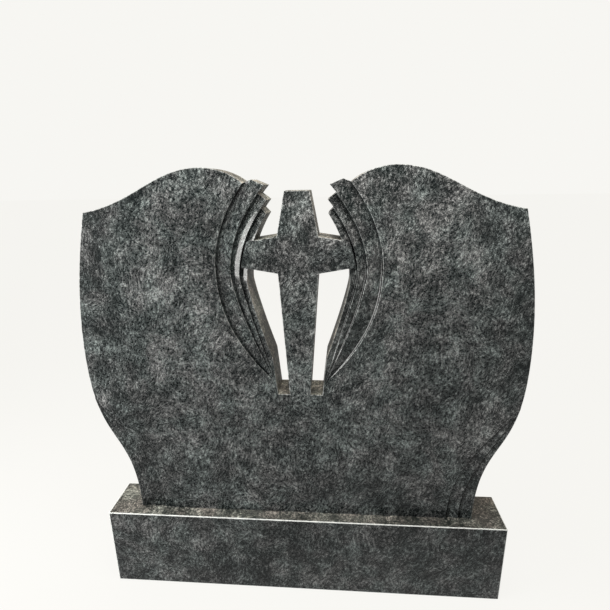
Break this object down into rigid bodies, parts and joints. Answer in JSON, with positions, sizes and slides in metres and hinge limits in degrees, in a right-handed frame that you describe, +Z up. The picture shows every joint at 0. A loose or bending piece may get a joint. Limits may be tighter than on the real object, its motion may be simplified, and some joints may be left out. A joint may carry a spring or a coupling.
{
  "type": "headstone",
  "caption": "Upright polished granite headstone with winged outline, pierced cross between carved bands, on a plain block base.",
  "frame": {"origin": "middle of the underside of the base block", "axes": "+Z up; the carved front faces -Y; +X is to the right of someone facing the front"},
  "size_m": [1.025, 0.115, 1.0633],
  "materials": {
    "base": "polished",
    "slab": "polished"
  },
  "bodies": {
    "root": {"base": "base", "slab": "slab"}
  },
  "joints": []
}
